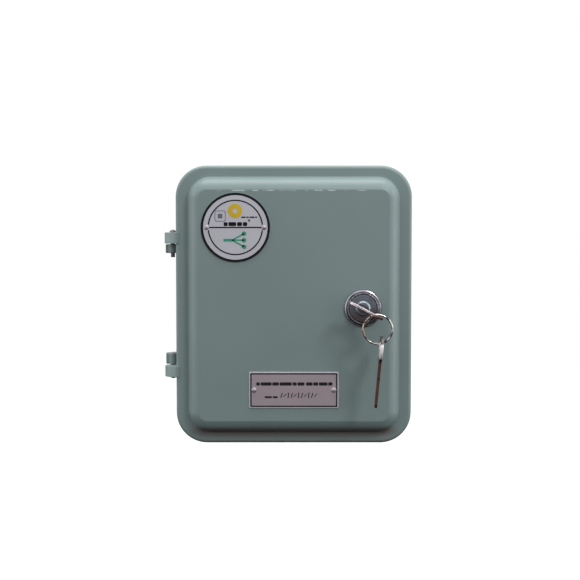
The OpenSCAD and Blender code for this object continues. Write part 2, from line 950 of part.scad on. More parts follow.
module gland_plate() {
  color("gainsboro") translate([0, cable_y, -hollow_h / 2]) linear_extrude(gland_t) difference() {
    round_rect(gland_w, gland_d, gland_r);
    for (i = [-1:1]) translate([i * grommet_pitch, 0]) circle(grommet_neck_r + cable_play);
    for (s = [-1, 1]) translate([s * gland_screw_x, 0]) circle(screw_hole_r + screw_play);
  }
}

module gland_screws() {
  color("silver") for (s = [-1, 1])
    translate([s * gland_screw_x, cable_y, -hollow_h / 2 + gland_t]) {
      dome(screw_head_r, screw_head_h);
      translate([0, 0, -gland_screw_l])
        cylinder(h = gland_screw_l + screw_head_h / 2, r = screw_r);
    }
}

module cable_grommet(i) {
  plate_low = -hollow_h / 2;
  plate_high = plate_low + gland_t;
  color("dimgray") translate([i * grommet_pitch, cable_y, 0]) rotate_extrude() polygon([
    [cable_r, plate_low - grommet_flange_t],
    [grommet_flange_r, plate_low - grommet_flange_t],
    [grommet_flange_r, plate_low],
    [grommet_neck_r, plate_low],
    [grommet_neck_r, plate_high],
    [grommet_flange_r, plate_high],
    [grommet_flange_r, plate_high + grommet_flange_t],
    [cable_r, plate_high + grommet_flange_t]
  ]);
}

// ---- earthing point ----

module earth_stud() {
  color("goldenrod") post(earth_x, earth_z, earth_r, -1, earth_end_y);
}

module earth_ring(r, y_back, t, sides) {
  translate([earth_x, 0, earth_z]) difference() {
    slab(y_back, y_back - t) circle(r, $fn = sides);
    slab(y_back + past, y_back - t - past) circle(earth_r + pin_play);
  }
}

module earth_washers() {
  color("gold") {
    earth_ring(earth_washer_r, earth_boss_y, earth_washer_t, 64);
    earth_ring(earth_washer_r, earth_boss_y - earth_washer_t - earth_nut_t, earth_washer_t, 64);
  }
}

module earth_nuts() {
  first_y = earth_boss_y - earth_washer_t;
  color("goldenrod") {
    earth_ring(earth_nut_r, first_y, earth_nut_t, 6);
    earth_ring(earth_nut_r, first_y - earth_nut_t - earth_washer_t, earth_nut_t, 6);
  }
}

back_box();
hinge_pin_upper();
hinge_pin_lower();
door_shell();
door_gasket();
round_plate();
round_plate_rivets();
name_plate();
name_plate_rivets();
lock_barrel();
lock_washer();
lock_nut();
lock_plug();
lock_cam();
cam_screw();
door_key();
key_ring();
spare_key();
adapter_bracket();
bracket_screws();
adapter_screws();
for (i = [1:adapter_count]) {
  adapter(i);
  outlet_cap(i);
  inner_cap(i);
}
splice_tray();
tray_screws();
splice_holder();
splice_sleeves();
tray_cover();
clamp_base();
clamp_bar();
clamp_screws();
gland_plate();
gland_screws();
for (i = [1:3])
  cable_grommet(i - 2);
earth_stud();
earth_nuts();
earth_washers();
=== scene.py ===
import json
import math

import bmesh
import bpy
from mathutils import Matrix, Vector


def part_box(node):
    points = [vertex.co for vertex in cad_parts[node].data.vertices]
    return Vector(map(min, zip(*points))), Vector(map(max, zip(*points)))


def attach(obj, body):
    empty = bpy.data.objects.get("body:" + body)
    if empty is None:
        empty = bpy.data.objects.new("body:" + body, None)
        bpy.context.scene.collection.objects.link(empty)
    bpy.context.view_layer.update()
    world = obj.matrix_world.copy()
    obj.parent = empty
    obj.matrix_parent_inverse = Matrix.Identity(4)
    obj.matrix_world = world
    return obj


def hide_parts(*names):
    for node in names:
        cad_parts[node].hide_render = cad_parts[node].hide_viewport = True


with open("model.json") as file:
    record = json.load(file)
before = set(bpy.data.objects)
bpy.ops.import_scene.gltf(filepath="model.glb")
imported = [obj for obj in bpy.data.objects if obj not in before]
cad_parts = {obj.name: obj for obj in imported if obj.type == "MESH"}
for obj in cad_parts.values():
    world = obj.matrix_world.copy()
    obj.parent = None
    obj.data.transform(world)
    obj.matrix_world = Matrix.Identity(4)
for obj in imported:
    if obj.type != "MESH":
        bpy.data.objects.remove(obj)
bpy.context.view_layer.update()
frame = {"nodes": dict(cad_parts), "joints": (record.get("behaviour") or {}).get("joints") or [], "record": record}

NODES = frame["nodes"]
JOINTS = {joint["name"]: joint for joint in frame["joints"]}

# Lengths are in millimetres, in the CAD frame: X right, Y into the wall, Z up.
# put() turns them into metres.
MM = 0.001


def in_mm(point):
    """A point in metres, as a vector in millimetres."""
    return Vector(point) / MM


HINGE = in_mm(JOINTS["door_hinge"]["pos_m"])
LOCK = in_mm(JOINTS["lock_turn"]["pos_m"])
RING_TOP = in_mm(JOINTS["ring_swing"]["pos_m"])
RING_LOW = in_mm(JOINTS["spare_key_swing"]["pos_m"])
DOOR_LOW, DOOR_HIGH = (in_mm(corner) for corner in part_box("door_shell"))
BOX_LOW = in_mm(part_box("back_box")[0])
PLATE_LOW, PLATE_HIGH = (in_mm(corner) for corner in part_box("round_plate"))
NAME_LOW, NAME_HIGH = (in_mm(corner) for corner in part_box("name_plate"))

# the door's outline, and the depths of its edge, its flange and its raised panel
CASE_W = 2 * DOOR_HIGH.x
CASE_H = DOOR_HIGH.z - DOOR_LOW.z
CASE_R = 19.0
PARTING_Y = HINGE.y
FLANGE_Y = PARTING_Y - 10.0
PANEL_Y = DOOR_LOW.y

# the cast walls, the door's overhang past the box, and the gap between the two
WALL = 2.5
RIM_OVER = 2.25
GAP = 0.3

# the flange and the panel's rounded crest, at the top and bottom and at the sides, and the
# angle in degrees at which the crest's arc stops
FLANGE_W = 7.4
FLANGE_SIDE_W = 8.1
CREST_W = 8.3
CREST_SIDE_W = 6.9
CREST_END = 114
PANEL_R = 13.0

# the hinges: how far the lugs reach past the axis, the knuckles' radius, and the heights of
# the lugs and of a pin's head
LUG_OUT = 4.6
KNUCKLE_R = 2.45
DOOR_LUG_H = 6.8
UPPER_LUG_H = 5.6
LOWER_LUG_H = 7.0
PIN_HEAD_H = 1.5

# radii of the painted highlights along the lock's two rims, of the raised boss on its plug and of its hole in the
# door
BEZEL_HIGHLIGHT_RADII = (8.9, 10.6)
BOSS_R = 3.9
LOCK_HOLE_R = 9.2

# ---------------------------------------------------------------- mesh helpers

# shorter than any real length, in millimetres, and in metres for a CAD mesh
SMALL = 1e-4
WELD_M = 1e-6


def arc(centre, radius, start, end, steps, rise=None):
    """Points in the plane along an arc, between two angles in degrees. A rise makes it an
    ellipse's arc: the radius is then across, and the rise is upwards."""
    rise = radius if rise is None else rise
    points = []
    for i in range(steps + 1):
        a = math.radians(start + (end - start) * i / steps)
        points.append((centre[0] + radius * math.cos(a), centre[1] + rise * math.sin(a)))
    return points


def round_rect(w, h, r, steps=10):
    """Points round a rounded rectangle in the plane."""
    points = []
    for sx, sz, start in ((1, 1, 0), (-1, 1, 90), (-1, -1, 180), (1, -1, 270)):
        centre = (sx * (w / 2 - r), sz * (h / 2 - r))
        points += arc(centre, r, start, start + 90, steps)
    return points


def circle(r, steps, centre=(0, 0)):
    """Points round a circle, without the first one again at the end."""
    return arc(centre, r, 0, 360, steps)[:-1]


def upright(outline, y):
    """A flat outline stood up in the plane Y = y."""
    return [(x, y, z) for x, z in outline]


def add_loft(bm, loops, closed=False):
    """Skins a row of loops that have the same number of points, and caps its ends. A closed
    row joins its last loop to its first and has no caps."""
    rings = [[bm.verts.new(p) for p in loop] for loop in loops]
    pairs = list(zip(rings, rings[1:]))
    if closed:
        pairs.append((rings[-1], rings[0]))
    for a, b in pairs:
        for i in range(len(a)):
            j = (i + 1) % len(a)
            bm.faces.new((a[i], a[j], b[j], b[i]))
    if not closed:
        bm.faces.new(rings[0][::-1])
        bm.faces.new(rings[-1])


def add_lathe(bm, profile, steps, closed=False):
    """Turns a profile of (radius, height) points about Z."""
    loops = []
    for r, h in profile:
        loops.append([(x, y, h) for x, y in circle(max(r, SMALL), steps)])
    add_loft(bm, loops, closed)


def add_tube(bm, path, radius, sides):
    """A round bar along a path of points, with its ends closed."""
    loops = []
    for i, point in enumerate(path):
        ahead = path[min(i + 1, len(path) - 1)] - path[max(i - 1, 0)]
        side = ahead.cross(Vector((0, 1, 0))).normalized()
        up = side.cross(ahead).normalized()
        loops.append([point + side * x + up * y for x, y in circle(radius, sides)])
    add_loft(bm, loops)


def add_prism(bm, outline, low, high):
    """An outline in the XY plane, raised along Z between two heights."""
    bottom = [bm.verts.new((x, y, low)) for x, y in outline]
    top = [bm.verts.new((x, y, high)) for x, y in outline]
    bm.faces.new(bottom[::-1])
    bm.faces.new(top)
    for i in range(len(outline)):
        j = (i + 1) % len(outline)
        bm.faces.new((bottom[i], bottom[j], top[j], top[i]))


def add_block(bm, low, high):
    """A box between two opposite corners."""
    outline = [(low[0], low[1]), (high[0], low[1]), (high[0], high[1]), (low[0], high[1])]
    add_prism(bm, outline, low[2], high[2])


def soften(bm, width, segments=2, angle=30):
    """Rounds every edge that is sharper than an angle."""
    bmesh.ops.recalc_face_normals(bm, faces=bm.faces)
    edges = [e for e in bm.edges if len(e.link_faces) == 2
             and e.calc_face_angle(0) > math.radians(angle)]
    bmesh.ops.bevel(bm, geom=edges, offset=width, segments=segments, profile=0.5,
                    affect="EDGES", clamp_overlap=True)


def curve_plate(outlines, thickness, edge, steps):
    """A flat plate with holes and rounded edges, as a bmesh in the XY plane, centred on Z = 0.
    The first outline is the outside, and the others are holes."""
    curve = bpy.data.curves.new("plate", "CURVE")
    curve.dimensions = "2D"
    curve.fill_mode = "BOTH"
    curve.extrude = thickness / 2 - edge
    curve.bevel_depth = edge
    curve.bevel_resolution = steps
    curve.offset = -edge
    for outline in outlines:
        spline = curve.splines.new("POLY")
        spline.points.add(len(outline) - 1)
        for point, (x, y) in zip(spline.points, outline):
            point.co = (x, y, 0, 1)
        spline.use_cyclic_u = True
    holder = bpy.data.objects.new("plate", curve)
    bpy.context.scene.collection.objects.link(holder)
    bpy.context.view_layer.update()
    graph = bpy.context.evaluated_depsgraph_get()
    mesh = bpy.data.meshes.new_from_object(holder.evaluated_get(graph))
    bm = bmesh.new()
    bm.from_mesh(mesh)
    bmesh.ops.remove_doubles(bm, verts=bm.verts, dist=SMALL)
    bpy.data.objects.remove(holder)
    bpy.data.curves.remove(curve)
    bpy.data.meshes.remove(mesh)
    return bm


def new_object(name, bm):
    """Adds an object to the scene from a bmesh in millimetres."""
    bmesh.ops.recalc_face_normals(bm, faces=bm.faces)
    bm.transform(Matrix.Scale(MM, 4))
    mesh = bpy.data.meshes.new(name)
    bm.to_mesh(mesh)
    bm.free()
    added = bpy.data.objects.new(name, mesh)
    bpy.context.scene.collection.objects.link(added)
    return added


def put(name, bm, material, body, replaces=(), place=None, sharp=35, cuts=()):
    """Makes a piece from a bmesh in millimetres, and lets it ride on a CAD body. Edges over
    the sharp angle stay sharp, and the cuts are taken out of the piece."""
    if place is not None:
        bm.transform(place)
    piece = new_object(name, bm)
    for tool in cuts:
        cut_away(piece, tool)
    mesh = piece.data
    mesh.shade_smooth()
    mesh.set_sharp_from_angle(angle=math.radians(sharp))
    normals = piece.modifiers.new("normals", "WEIGHTED_NORMAL")
    normals.keep_sharp = True
    mesh.materials.clear()
    mesh.materials.append(material)
    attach(piece, body)
    if replaces:
        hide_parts(*replaces)


def cut_away(piece, bm):
    """Takes a bmesh in millimetres out of a piece."""
    tool = new_object("tool", bm)
    cut = piece.modifiers.new("cut", "BOOLEAN")
    cut.operation = "DIFFERENCE"
    cut.solver = "EXACT"
    cut.object = tool
    bpy.context.view_layer.update()
    graph = bpy.context.evaluated_depsgraph_get()
    result = bpy.data.meshes.new_from_object(piece.evaluated_get(graph))
    spent = (piece.data, tool.data)
    piece.modifiers.clear()
    piece.data = result
    bpy.data.objects.remove(tool)
    for mesh in spent:
        bpy.data.meshes.remove(mesh)


def stood_up(x, y, z):
    """Stands up what was made in the XY plane, round a point: its Y turns upwards, and its Z
    turns to the front."""
    return Matrix.Translation((x, y, z)) @ Matrix.Rotation(math.pi / 2, 4, "X")


def bore_tool(x, y, z, r, length):
    """A cylinder along Y to cut a hole with, centred on a point."""
    bm = bmesh.new()
    add_prism(bm, circle(r, 40), -length / 2, length / 2)
    bm.transform(stood_up(x, y, z))
    return bm


def merge(bm, other):
    """Moves everything in one bmesh into another."""
    mesh = bpy.data.meshes.new("part")
    other.to_mesh(mesh)
    other.free()
    bm.from_mesh(mesh)
    bpy.data.meshes.remove(mesh)


# ---------------------------------------------------------------- materials

# features a metre in the noise that roughens a surface
FINE_GRAIN = 900


class Recipe:
    """A node material with helpers for its textures. Places in it are in the CAD frame, and
    stay with the piece when it moves."""

    def __init__(self, name, colour, roughness, metallic=0.0):
        self.material = bpy.data.materials.new(name)
        self.material.use_nodes = True
        self.nodes = self.material.node_tree.nodes
        self.links = self.material.node_tree.links
        self.shader = self.nodes["Principled BSDF"]
        self.shader.inputs["Base Color"].default_value = (*colour, 1)
        self.shader.inputs["Roughness"].default_value = roughness
        self.shader.inputs["Metallic"].default_value = metallic
        self.colour = colour
        self.roughness = roughness
        self.place = self.nodes.new("ShaderNodeTexCoord").outputs["Object"]
        self.colour_out = None

    def noise(self, scale, detail=3.0, stretch=None):
        """A noise between 0 and 1, with its scale in features a metre."""
        texture = self.nodes.new("ShaderNodeTexNoise")
        texture.inputs["Scale"].default_value = scale
        texture.inputs["Detail"].default_value = detail
        place = self.place
        if stretch is not None:
            mapping = self.nodes.new("ShaderNodeMapping")
            mapping.inputs["Scale"].default_value = stretch
            self.links.new(self.place, mapping.inputs["Vector"])
            place = mapping.outputs["Vector"]
        self.links.new(place, texture.inputs["Vector"])
        return texture.outputs["Fac"]

    def remap(self, value, low, high, to_low=0.0, to_high=1.0):
        """Moves a range of values onto another, and holds what lies outside it at the ends."""
        node = self.nodes.new("ShaderNodeMapRange")
        node.inputs["From Min"].default_value = low
        node.inputs["From Max"].default_value = high
        node.inputs["To Min"].default_value = to_low
        node.inputs["To Max"].default_value = to_high
        self.links.new(value, node.inputs["Value"])
        return node.outputs["Result"]

    def times(self, a, b):
        """Two amounts multiplied."""
        node = self.nodes.new("ShaderNodeMath")
        node.operation = "MULTIPLY"
        self.links.new(a, node.inputs[0])
        self.links.new(b, node.inputs[1])
        return node.outputs["Value"]

    def near(self, value, middle, half, soft):
        """1 where a value in metres is near a middle, and 0 away from it. The middle, the
        half width and the soft edge are in millimetres."""
        away = self.nodes.new("ShaderNodeMath")
        away.operation = "SUBTRACT"
        away.inputs[1].default_value = middle * MM
        self.links.new(value, away.inputs[0])
        size = self.nodes.new("ShaderNodeMath")
        size.operation = "ABSOLUTE"
        self.links.new(away.outputs["Value"], size.inputs[0])
        return self.remap(size.outputs["Value"], half * MM, (half + soft) * MM, 1, 0)

    def blend(self, amount, colour):
        """Mixes another colour over the surface where amount is high."""
        node = self.nodes.new("ShaderNodeMix")
        node.data_type = "RGBA"
        self.links.new(amount, node.inputs["Factor"])
        if self.colour_out is None:
            node.inputs["A"].default_value = (*self.colour, 1)
        else:
            self.links.new(self.colour_out, node.inputs["A"])
        node.inputs["B"].default_value = (*colour, 1)
        self.colour_out = node.outputs["Result"]
        self.links.new(self.colour_out, self.shader.inputs["Base Color"])

    def mottle(self, scale, amount):
        """Slow lighter and darker patches."""
        light = self.remap(self.noise(scale), 0.35, 0.7)
        self.blend(light, [c * (1 + amount) for c in self.colour])

    def sheen_patches(self, scale, spread, stretch=None):
        """Roughness that wanders about its value."""
        rough = self.remap(self.noise(scale, 4, stretch), 0.3, 0.7,
                           self.roughness - spread, self.roughness + spread)
        self.links.new(rough, self.shader.inputs["Roughness"])

    def grain(self, scale, height, detail=2.0, stretch=None):
        """Bumps with a height in millimetres."""
        bump = self.nodes.new("ShaderNodeBump")
        bump.inputs["Distance"].default_value = height * MM
        self.links.new(self.noise(scale, detail, stretch), bump.inputs["Height"])
        earlier = self.shader.inputs["Normal"].links
        if earlier:
            self.links.new(earlier[0].from_socket, bump.inputs["Normal"])
        self.links.new(bump.outputs["Normal"], self.shader.inputs["Normal"])

    def along(self, axis):
        """One of the object's own coordinates, in metres."""
        split = self.nodes.new("ShaderNodeSeparateXYZ")
        self.links.new(self.place, split.inputs["Vector"])
        return split.outputs[axis]

    def fade(self, axis, start, end, least=0.0):
        """Rises along an axis from a least amount at a start, in millimetres, to 1 at an end."""
        return self.remap(self.along(axis), start * MM, end * MM, least)

    def band(self, axis, middle, half, soft):
        """1 in a band across an axis, in millimetres, and 0 away from it."""
        return self.near(self.along(axis), middle, half, soft)

    def round_band(self, centre, radius, half, soft):
        """1 in a band of a radius round an axis along Y, in millimetres, and 0 away from it."""
        away = self.nodes.new("ShaderNodeVectorMath")
        away.operation = "SUBTRACT"
        away.inputs[1].default_value = Vector(centre) * MM
        self.links.new(self.place, away.inputs[0])
        flat = self.nodes.new("ShaderNodeVectorMath")
        flat.operation = "MULTIPLY"
        flat.inputs[1].default_value = (1, 0, 1)
        self.links.new(away.outputs["Vector"], flat.inputs[0])
        reach = self.nodes.new("ShaderNodeVectorMath")
        reach.operation = "LENGTH"
        self.links.new(flat.outputs["Vector"], reach.inputs[0])
        return self.near(reach.outputs["Value"], radius, half, soft)

    def set(self, **values):
        """Sets inputs of the shader by name, with underscores for spaces."""
        for name, value in values.items():
            self.shader.inputs[name.replace("_", " ")].default_value = value


def paint(name):
    """Satin grey-green enamel on cast metal, with the casting's slow waves under it."""
    recipe = Recipe(name, (0.133, 0.180, 0.178), 0.42)
    recipe.mottle(14, 0.08)
    recipe.sheen_patches(60, 0.03)
    recipe.grain(FINE_GRAIN, 0.010, 2)
    recipe.grain(45, 0.08, 1)
    recipe.set(Specular_IOR_Level=0.35)
    return recipe


def door_paint():
    """The case's paint, with a painted highlight in broken dashes along the top crease of the raised
    panel, painted light that makes the lugs lighter, and painted shade along the bottom flange and
    at the foot of the panel's lower crest."""
    recipe = paint("door_paint")
    side_x = CASE_W / 2
    edge_z = CASE_H / 2
    # painted highlight: broken light dashes along the top crease of the raised panel, on its front only
    line = recipe.band("Z", edge_z - FLANGE_W - CREST_W - 0.05, 0.14, 0.3)
    glint_breaks = recipe.remap(recipe.noise(160, 5), 0.47, 0.57)
    middle = recipe.band("X", -2, 38, 16)
    front = recipe.band("Y", PANEL_Y, 1.2, 0.2)
    where = recipe.times(recipe.times(line, glint_breaks), recipe.times(middle, front))
    recipe.blend(where, (0.38, 0.46, 0.46))
    # painted light: the lugs' fronts made lighter, as if they caught more light from above
    lugs = recipe.fade("X", 0.6 - side_x, -0.9 - side_x)
    recipe.blend(lugs, (0.185, 0.240, 0.242))
    # painted shade: darker along the lower flange between its corners, and a dark warm band at the foot of the
    # lower crest
    between_corners = recipe.band("X", 0, side_x - 16.1, 9)
    lower_flange_shade = recipe.band("Z", FLANGE_W / 2 - edge_z, 4.0, 1.5)
    recipe.blend(recipe.times(lower_flange_shade, between_corners), (0.128, 0.158, 0.154))
    crease = recipe.band("Z", FLANGE_W - edge_z + 0.5, 1.0, 3.2)
    recipe.blend(recipe.times(crease, between_corners), (0.088, 0.078, 0.070))
    return recipe.material


def lock_chrome():
    """Chrome whose dark base colour paints in the dark room that it reflects, with painted highlights in broken
    bands along its two rims.
    """
    recipe = Recipe("lock_chrome", (0.050, 0.050, 0.060), 0.28, 0.8)
    recipe.mottle(400, 0.5)
    recipe.sheen_patches(700, 0.08)
    recipe.grain(FINE_GRAIN, 0.004)
    # painted highlights: broken light bands along the bezel's two rims
    rim_glint_breaks = recipe.remap(recipe.noise(120, 3), 0.34, 0.54)
    for radius in BEZEL_HIGHLIGHT_RADII:
        rim = recipe.round_band(LOCK, radius, 0.14, 0.26)
        recipe.blend(recipe.times(rim, rim_glint_breaks), (0.46, 0.45, 0.50))
    return recipe.material


def lock_face():
    """The plug's dull face, with painted shade that makes it darker and browner below, and a painted highlight
    round the top of its boss.
    """
    recipe = Recipe("lock_face", (0.10, 0.115, 0.135), 0.32, 0.8)
    recipe.mottle(300, 0.3)
    recipe.sheen_patches(900, 0.06)
    recipe.grain(FINE_GRAIN, 0.01)
    # painted shade: darker and browner below, for the key's shadow
    recipe.blend(recipe.fade("Z", LOCK.z + 2.3, LOCK.z - 4.7), (0.085, 0.070, 0.078))
    # painted highlight round the boss, faded out below as painted shadow from the key
    lit_upper_half = recipe.fade("Z", LOCK.z - 2.7, LOCK.z + 0.3, 0.25)
    boss = recipe.round_band(LOCK, BOSS_R, 0.40, 0.3)
    recipe.blend(recipe.times(boss, lit_upper_half), (0.34, 0.41, 0.42))
    return recipe.material


def key_nickel():
    """Nickel plate, reddish brown towards the far end of the bow."""
    recipe = Recipe("key_nickel", (0.37, 0.32, 0.345), 0.34, 1.0)
    recipe.mottle(250, 0.3)
    recipe.sheen_patches(500, 0.08)
    far_end = recipe.fade("X", LOCK.x + 2.0, LOCK.x + 7.5)
    recipe.blend(far_end, (0.20, 0.085, 0.072))
    return recipe.material


def ring_metal():
    """Spring wire: nickel with dark patches of painted reflection, yellower on its left side."""
    recipe = Recipe("ring_wire", (0.62, 0.60, 0.58), 0.18, 1.0)
    left = recipe.fade("X", RING_TOP.x - 4.45, RING_TOP.x - 7.45)
    recipe.blend(left, (0.40, 0.32, 0.23))
    # painted reflection: dark patches that stand in for the dark room mirrored in the wire
    dark = recipe.remap(recipe.noise(330, 2), 0.45, 0.58)
    recipe.blend(dark, (0.115, 0.085, 0.080))
    recipe.sheen_patches(500, 0.06)
    recipe.grain(FINE_GRAIN, 0.004)
    return recipe.material


def spare_key_metal():
    """Bare brown metal, with painted shade at the top of the bow and a painted highlight as a light band across
    it.
    """
    recipe = Recipe("spare_key_metal", (0.060, 0.019, 0.013), 0.5, 0.5)
    recipe.mottle(300, 0.5)
    recipe.sheen_patches(500, 0.08)
    # painted shade: darker grey at the top of the bow, by the ring
    top = recipe.fade("Z", RING_LOW.z - 1.85, RING_LOW.z + 0.65)
    recipe.blend(top, (0.085, 0.080, 0.078))
    # painted highlight: a light band across the bow's turned face
    bow_highlight = recipe.band("Z", RING_LOW.z - 3.75, 3.8, 0.8)
    recipe.blend(bow_highlight, (0.66, 0.63, 0.64))
    return recipe.material


def simple(name, colour, roughness, metallic=0.0, mottle=0.15, mottle_scale=80, spread=0.06,
           grain_height=0.01, stretch=None, **values):
    """One colour, with slight patches of light and sheen and a fine grain."""
    recipe = Recipe(name, colour, roughness, metallic)
    recipe.mottle(mottle_scale, mottle)
    recipe.sheen_patches(mottle_scale * 3, spread, stretch)
    recipe.grain(FINE_GRAIN, grain_height, 2, stretch)
    recipe.set(**values)
    return recipe.material


# materials by slot, and the door's own paint
MAT = {
    "case_paint": paint("case_paint").material,
    "door_paint": door_paint(),
    "seal_rubber": simple("seal_rubber", (0.018, 0.018, 0.019), 0.7, spread=0.1),
    "pin_steel": simple("pin_steel", (0.15, 0.115, 0.125), 0.45, 0.4, mottle=0.6, mottle_scale=500),
    "round_plate_metal": simple("round_plate_metal", (0.36, 0.36, 0.40), 0.42, 0.25, mottle=0.05,
                                grain_height=0.004),
    "name_plate_metal": simple("name_plate_metal", (0.36, 0.37, 0.40), 0.4, 0.3, mottle=0.08,
                               grain_height=0.004),
    "rivet_metal": simple("rivet_metal", (0.27, 0.24, 0.27), 0.38, 0.5, mottle_scale=300),
    "lock_chrome": lock_chrome(),
    "lock_face": lock_face(),
    "cam_steel": simple("cam_steel", (0.55, 0.55, 0.50), 0.35, 1.0, mottle_scale=150),
    "key_nickel": key_nickel(),
    "ring_wire": ring_metal(),
    "spare_key_metal": spare_key_metal(),
    "zinc_sheet": simple("zinc_sheet", (0.58, 0.60, 0.62), 0.38, 0.9, mottle=0.2, mottle_scale=120,
                         stretch=(1, 12, 12)),
    "screw_steel": simple("screw_steel", (0.52, 0.52, 0.52), 0.3, 1.0, mottle_scale=400),
    "adapter_plastic": simple("adapter_plastic", (0.012, 0.09, 0.34), 0.32),
    "cap_plastic": simple("cap_plastic", (0.03, 0.22, 0.55), 0.5),
    "tray_plastic": simple("tray_plastic", (0.72, 0.72, 0.68), 0.45, mottle=0.04),
    "sleeve_plastic": simple("sleeve_plastic", (0.62, 0.70, 0.78), 0.15),
    "cover_plastic": simple("cover_plastic", (0.85, 0.90, 0.93), 0.12, mottle=0.02,
                            Transmission_Weight=0.85, IOR=1.2),
    "clamp_plastic": simple("clamp_plastic", (0.02, 0.02, 0.022), 0.5),
    "earth_brass": simple("earth_brass", (0.62, 0.42, 0.14), 0.3, 1.0, mottle=0.25,
                          mottle_scale=300),
}

# what the plates are printed with
INK = {
    "black": simple("ink_black", (0.004, 0.004, 0.006), 0.5, mottle=0.2, Specular_IOR_Level=0.1),
    "grey": simple("ink_grey", (0.07, 0.07, 0.09), 0.45, mottle=0.2),
    "line": simple("ink_line", (0.010, 0.007, 0.011), 0.5, mottle=0.2, Specular_IOR_Level=0.15),
    "rose": simple("ink_rose", (0.23, 0.19, 0.21), 0.42, mottle=0.06),
    "yellow": simple("ink_yellow", (0.37, 0.25, 0.012), 0.45, mottle=0.3,
                     Specular_IOR_Level=0.2),
    "green": simple("ink_green", (0.01, 0.18, 0.11), 0.45, mottle=0.15),
}

# ---------------------------------------------------------------- the case

# steps round each corner, the same in every loop that is skinned with another
CORNER_STEPS = 12


def case_loop(inset, y):
    """The case's outline at depth y, with its edge moved inwards by inset."""
    w = CASE_W - 2 * inset
    h = CASE_H - 2 * inset
    return upright(round_rect(w, h, CASE_R - inset, CORNER_STEPS), y)


def panel_loop(inset, y):
    """An outline round the raised panel. The inset is from the case's top and bottom. At the
    sides the panel starts further in and its rounding is narrower."""
    into = inset - FLANGE_W
    side = FLANGE_SIDE_W + into * CREST_SIDE_W / CREST_W
    w = CASE_W - 2 * side
    h = CASE_H - 2 * inset
    return upright(round_rect(w, h, max(PANEL_R - into, 0.3), CORNER_STEPS), y)


def edge_arc(inset, y, radius, start, end, steps, deep=None):
    """(inset, y) points of a rounded edge. 180 degrees is outwards, and 90 is forwards."""
    points = []
    for px, py in arc((0, 0), radius, start, end, steps, deep):
        points.append((inset + px, y - py))
    return points


def door_inside():
    """Loops from the middle of the door's hollow out to its back edge."""
    hollow_y = PANEL_Y + WALL
    round_r = 5
    loops = [panel_loop(FLANGE_W + 8.5, hollow_y)]
    for inset, y in edge_arc(FLANGE_W + WALL + round_r, hollow_y + round_r, round_r, 90, 180, 6):
        loops.append(panel_loop(inset, y))
    loops.append(panel_loop(FLANGE_W + WALL, FLANGE_Y + WALL))
    loops.append(case_loop(WALL, FLANGE_Y + WALL))
    loops.append(case_loop(WALL, PARTING_Y - GAP))
    return loops


def door_outside():
    """Loops from the door's back edge, over the flange and up the panel's crest. The crest is
    an ellipse's arc that stops short of level, which leaves a crease round the panel."""
    back_r = 0.4
    edge_r = 2.2
    foot_r = 0.7
    back = edge_arc(back_r, PARTING_Y - GAP - back_r, back_r, 270, 180, 3)
    edge = edge_arc(edge_r, FLANGE_Y + edge_r, edge_r, 180, 90, 6)
    loops = [case_loop(inset, y) for inset, y in back + edge]
    foot_inset = FLANGE_W - foot_r
    loops.append(case_loop(foot_inset - 0.8, FLANGE_Y))
    foot = edge_arc(foot_inset, FLANGE_Y - foot_r, foot_r, 270, 360, 3)
    start_inset = FLANGE_W + 0.1
    start_y = FLANGE_Y - 2 * foot_r
    end = math.radians(CREST_END)
    reach = (FLANGE_W + CREST_W - start_inset) / (1 + math.cos(end))
    rise = (start_y - PANEL_Y) / math.sin(end)
    crest = edge_arc(start_inset + reach, start_y, reach, 180, CREST_END, 16, rise)
    loops += [panel_loop(inset, y) for inset, y in foot + crest]
    return loops


def door_lug_span():
    """Heights of the upper door lug's lower and upper faces, below its pin's head."""
    high = in_mm(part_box("hinge_pin_upper")[1]).z - PIN_HEAD_H - GAP
    return high - DOOR_LUG_H, high


def add_door_lugs(bm):
    """The door's hinge lugs, with a front that curves round to the flange."""
    outer_x = HINGE.x - LUG_OUT
    inner_x = -CASE_W / 2 + WALL - 0.2
    front_y = FLANGE_Y - 0.4
    curve = [(0, 6.4), (0.4, 5.0), (1.3, 3.6), (2.6, 2.4), (4.4, 1.2), (6.5, 0.3), (7.4, 0)]
    outline = arc((HINGE.x, HINGE.y), KNUCKLE_R, 0, 180, 10)
    outline.append((outer_x, HINGE.y - 1))
    outline += [(outer_x + x, front_y + y) for x, y in curve]
    outline += [(inner_x - 0.4, front_y), (inner_x, front_y + 0.4), (inner_x, HINGE.y - GAP),
                (HINGE.x + KNUCKLE_R, HINGE.y - GAP)]
    low, high = door_lug_span()
    for z_low, z_high in ((low, high), (-high, -low)):
        lug = bmesh.new()
        add_prism(lug, outline, z_low, z_high)
        soften(lug, 1.1, 5, 40)
        merge(bm, lug)


def build_door():
    """The cast door, with its lugs and the lock's hole."""
    bm = bmesh.new()
    add_loft(bm, door_inside() + door_outside())
    add_door_lugs(bm)
    cuts = [bore_tool(LOCK.x, PANEL_Y, LOCK.z, LOCK_HOLE_R, 12)]
    put("door_casting", bm, MAT["door_paint"], "door", ["door_shell"], cuts=cuts)


def build_gasket():
    """The door's rubber seal, with a domed face towards the box."""
    low, high = (in_mm(corner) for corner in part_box("door_gasket"))
    outer_inset = DOOR_HIGH.x - high.x
    dome_r = 2.0
    section = [(0.0, low.y), (2 * dome_r, low.y)]
    section += arc((dome_r, high.y - dome_r), dome_r, 0, 180, 10)
    loops = [case_loop(outer_inset + x, y) for x, y in section]
    bm = bmesh.new()
    add_loft(bm, loops, closed=True)
    put("seal", bm, MAT["seal_rubber"], "door", ["door_gasket"])


# ---------------------------------------------------------------- the box

# the tongue that stands into the door's seal
TONGUE_OUT = 1.6
TONGUE_BEVEL = 0.3

